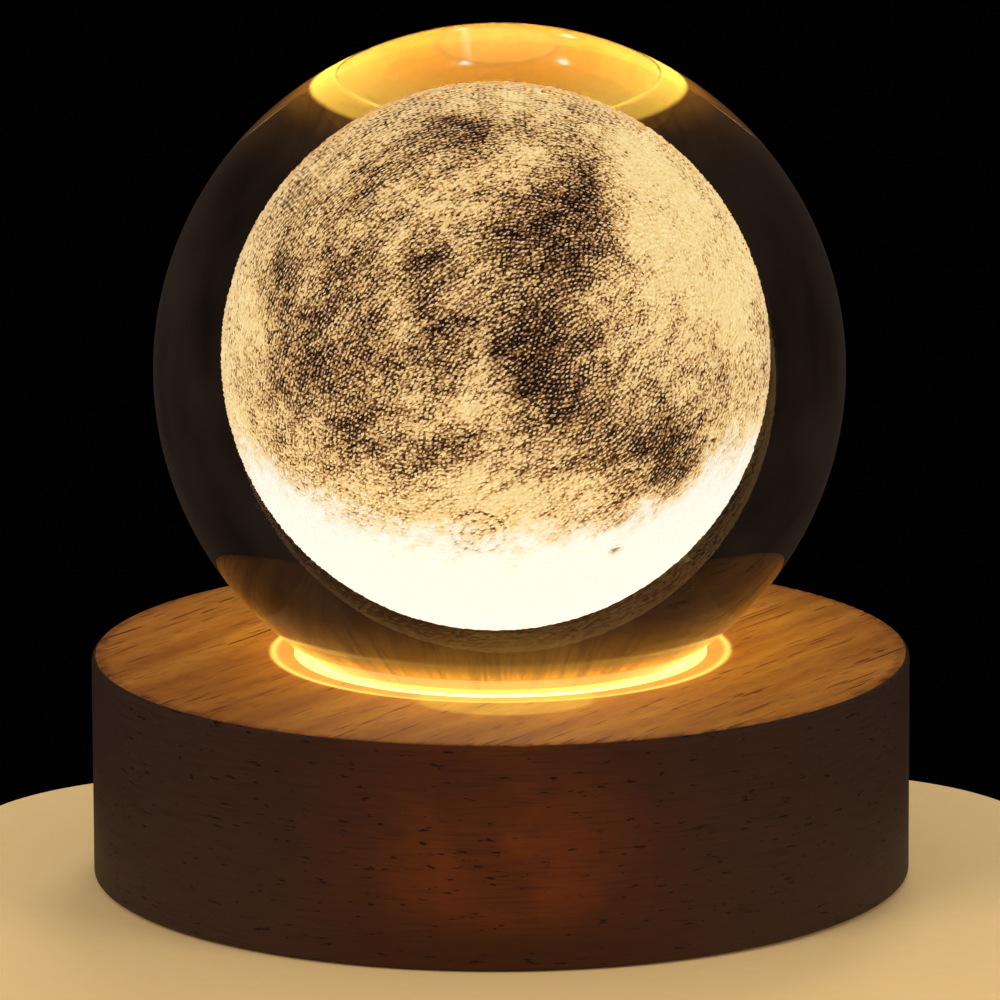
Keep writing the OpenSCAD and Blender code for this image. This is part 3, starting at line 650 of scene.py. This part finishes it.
# Towards this direction, the far side from the front, the engraving glows warmer
away_from_front, rear_warmth = (0.0, 0.977, 0.10), (1.0, 0.77, 0.46, 1.0)
turned_away = engraved.between(engraved.along(outward, away_from_front), 0.30, 0.85)
rear_glow = engraved.blend(glow, rear_warmth, 1.0, "MULTIPLY")
engraved.drive("Emission Color", engraved.blend(glow, rear_glow, turned_away))
engraved.dapple(tone, tint(20, 14, 10), tint(60, 50, 36))
engraved.material.cycles.emission_sampling = "NONE"
moon.data.materials.append(engraved.material)
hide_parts("moon_engraving")
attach(moon, "ball")


def crack_dots(name, directions, tone, white):
    """One flat eight-sided crystal for each direction, drawn out along the laser's rows: two
    corners on each of three crossing axes. Bright land has large ones, and seas have small ones."""
    rng = np.random.default_rng(7)
    count = len(directions)
    level = laser_rows[0] - (directions @ laser_rows[0])[:, None] * directions
    level += rng.normal(size=level.shape) * 0.22
    level = unit(level - (level * directions).sum(1)[:, None] * directions)
    across = np.cross(directions, level)
    size = (0.6 + 0.5 * tone + 0.2 * white) * rng.uniform(0.75, 1.25, count)
    half_length = 0.00027 * size * rng.uniform(0.7, 1.3, count)
    half_width, half_thickness = 0.00014 * size, 0.00008 * size
    depth = half_thickness + rng.uniform(0, 0.0001, count)
    centre = moon_centre + directions * (moon_radius - depth)[:, None]
    arms = np.stack([level * half_length[:, None], across * half_width[:, None],
                     directions * half_thickness[:, None]], 1)
    corners = centre[:, None] + np.concatenate([arms, -arms], 1)
    sides = np.array([[0, 1, 2], [1, 3, 2], [3, 4, 2], [4, 0, 2], [1, 0, 5], [3, 1, 5], [4, 3, 5], [0, 4, 5]])
    faces = (sides[None] + np.arange(count)[:, None, None] * 6).reshape(-1, 3)
    piece = add_mesh(name, corners.reshape(-1, 3), faces.tolist(), smooth=False)
    shown = np.clip(tone + rng.uniform(-0.28, 0.18, count), 0.01, 0.99)
    keep_tone(piece.data, np.repeat(shown, 6), np.repeat(white, 6))
    # Each crystal's faces share one small triangle of the OFBake UV map, placed by its tone and whiteness
    triangle = np.array([[0, 0], [0.003, 0], [0, 0.003]])
    flat = np.stack([shown, np.clip(white, 0.01, 0.99)], 1)[:, None] + triangle
    sheet = piece.data.uv_layers.new(name="OFBake")
    sheet.data.foreach_set("uv", np.repeat(flat, 8, 0).astype(np.float32).ravel())
    return piece


# The cracks lie on a golden spiral round an axis that leaves the moon at the right of its front,
# and are shaken a little, least at the axis
crack_count = 27000
number = np.arange(crack_count) + 0.5
rise, turn = np.arcsin(1 - 2 * number / crack_count), number * math.pi * (3 - math.sqrt(5))
spiral = np.stack([np.cos(rise) * np.cos(turn), np.cos(rise) * np.sin(turn), np.sin(rise)], -1)
pole = facing(36.5, 16.0)
side = unit(np.cross(pole, [0, 0, 1.0]))
spiral = spiral @ np.stack([side, np.cross(pole, side), pole])
looseness = np.clip((np.degrees(apart(spiral, pole)) - 10) / 20, 0.4, 1)[:, None]
spiral = unit(spiral + np.random.default_rng(5).normal(size=spiral.shape) * 0.0035 * looseness)
dot_tone, dot_white = moon_tone(spiral)
at_rear = spiral @ away_from_front > np.random.default_rng(9).uniform(0.30, 0.80, crack_count)
for half, part, warmth in (("front", ~at_rear, (1.0, 1.0, 1.0, 1.0)), ("back", at_rear, rear_warmth)):
    # The cracks' glow is painted light: an emission standing in for the diodes' light
    cracks = Finish("white_cracks_" + half, {"Roughness": 0.6, "Emission Strength": 1.0})
    tone, white = kept_tone(cracks)
    glow = cracks.node("ValToRGB", {"stops": [
        (0.0, tint(150, 112, 82)), (0.2, tint(206, 168, 130)), (0.5, tint(241, 204, 148)),
        (1.0, tint(254, 231, 170)),
    ]}, {0: tone})
    glow = cracks.blend(glow, tint(255, 252, 240), white)
    cracks.drive("Emission Color", cracks.blend(glow, warmth, 1.0, "MULTIPLY"))
    cracks.dapple(tone, tint(60, 46, 36), tint(90, 80, 66))
    cracks.material.cycles.emission_sampling = "NONE"
    dots = crack_dots("moon_dots_" + half, spiral[part], dot_tone[part], dot_white[part])
    dots.data.materials.append(cracks.material)
    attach(dots, "ball")

# ---------------------------------------------------------------- table top and light
# A pale table top with round corners under the lamp, which isn't part of it. Soft lamps from
# both sides and above stand around it, and the room behind is dark. The table ends at the
# base's rear edge, because what lies behind shows through the glass as a pale streak.
around, corner_radius, thickness = 256, 0.03, 0.03
half_straight, middle = np.array([0.035, 0.0314]), np.array([0.0, -0.0136])
turn = (np.arange(around) + 0.5) * 2 * np.pi / around
corner = corner_radius * np.stack([np.cos(turn), np.sin(turn)], 1)
outline = corner + np.sign(corner) * half_straight + middle
edge_share, edge_height, bend = 0.03, 0.002, np.linspace(0, np.pi / 2, 9)
inward = np.concatenate([[0.0], 1 - edge_share * (1 - np.sin(bend)), [1.0]])
down = np.concatenate([[0.0], edge_height * (np.cos(bend) - 1), [-thickness]])
points = np.dstack([inward[:, None, None] * outline, np.repeat(down[:, None], around, 1)]).reshape(-1, 3)
table = add_mesh("table_top", points, strips(len(inward), around)[:, ::-1].tolist(), smooth=True)
pale = Finish("pale_table", {"Roughness": 0.6})
pale.dapple(pale.noise(pale.here(0.002), detail=3.0), tint(248, 208, 142), tint(243, 200, 133))
table.data.materials.append(pale.material)

for name, place, size, power in (
    ("left_lamp", (-0.9, -0.9, 0.9), 0.7, 9.0),
    ("right_lamp", (1.1, -0.7, 0.6), 0.6, 6.0),
    ("back_lamp", (0.15, 0.9, 1.0), 0.35, 4.0),
):
    area = bpy.data.lights.new(name, "AREA")
    area.energy, area.size = power, size
    lamp = bpy.data.objects.new(name, area)
    bpy.context.scene.collection.objects.link(lamp)
    lamp.visible_glossy = False
    lamp.visible_transmission = False
    back = unit(np.array(place) - aim)
    right = unit(np.cross([0, 0, 1.0], back))
    turned = Matrix(np.stack([right, np.cross(back, right), back], 1)).to_4x4()
    lamp.matrix_world = Matrix.Translation(place) @ turned

# The room: even light on what is dull, dimmer in reflections, dim shapes through the glass, and
# the dark behind the lamp. A ray through the glass can also count as a reflection, so each kind
# goes over the ones before it.
world = bpy.data.worlds.new("room")
room = Nodes(world)
shapes = room.node("TexNoise", {}, {"Vector": room.node("TexCoord", out="Generated"), "Scale": 2.2})
dim = room.node("ValToRGB", {"stops": [
    (0.36, (0.005, 0.003, 0.0022, 1.0)), (0.66, (0.020, 0.012, 0.0075, 1.0)),
]}, {0: shapes})
level = (0.45, 0.45, 0.45, 1.0)
for ray, colour in (("Is Glossy Ray", (0.03, 0.021, 0.015, 1.0)), ("Is Transmission Ray", dim),
                    ("Is Camera Ray", (0.0004, 0.0004, 0.0004, 1.0))):
    level = room.blend(level, colour, room.node("LightPath", out=ray))
room.node("OutputWorld", {}, {"Surface": room.node("Background", {}, {"Color": level})})
bpy.context.scene.world = world
bpy.context.scene.view_settings.view_transform = "Standard"
